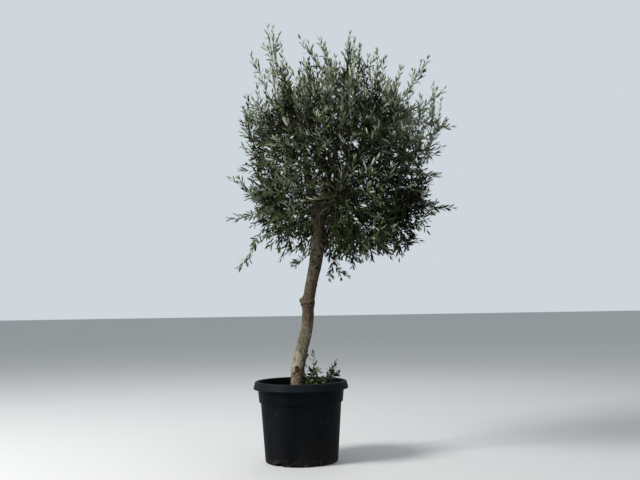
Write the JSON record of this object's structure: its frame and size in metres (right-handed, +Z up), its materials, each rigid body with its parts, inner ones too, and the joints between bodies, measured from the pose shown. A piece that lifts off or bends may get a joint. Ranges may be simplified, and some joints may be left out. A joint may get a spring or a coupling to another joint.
{
  "type": "potted olive tree",
  "caption": "Young standard olive tree with a leaning trunk and a rounded leafy head, standing in a round black plastic nursery container with a broad lip.",
  "frame": {"origin": "centre of the container's flat underside, on the ground", "axes": "+Z up along the trunk, +X to the right and +Y away from the viewer in front view, the side that the crown leans to being +X"},
  "size_m": [1.0781, 0.8928, 2.0417],
  "materials": {
    "container_plastic": "satin",
    "soil": "matte",
    "bark": "matte",
    "leaves": "matte"
  },
  "bodies": {
    "root": {"pot": "container_plastic", "potting_soil": "soil", "trunk": "bark", "bough_lower_right": "bark", "bough_lower_back": "bark", "bough_lower_left": "bark", "bough_lower_front": "bark", "bough_upper_right_back": "bark", "bough_upper_left_back": "bark", "bough_upper_left_front": "bark", "bough_upper_right_front": "bark", "bough_top_centre": "bark", "foliage_lower_right": "leaves", "foliage_lower_back": "leaves", "foliage_lower_left": "leaves", "foliage_lower_front": "leaves", "foliage_upper_right_back": "leaves", "foliage_upper_left_back": "leaves", "foliage_upper_left_front": "leaves", "foliage_upper_right_front": "leaves", "foliage_top_centre": "leaves", "sprig_right": "leaves", "sprig_left": "leaves", "basal_shoot_inner": "leaves", "basal_shoot_outer": "leaves"}
  },
  "joints": []
}
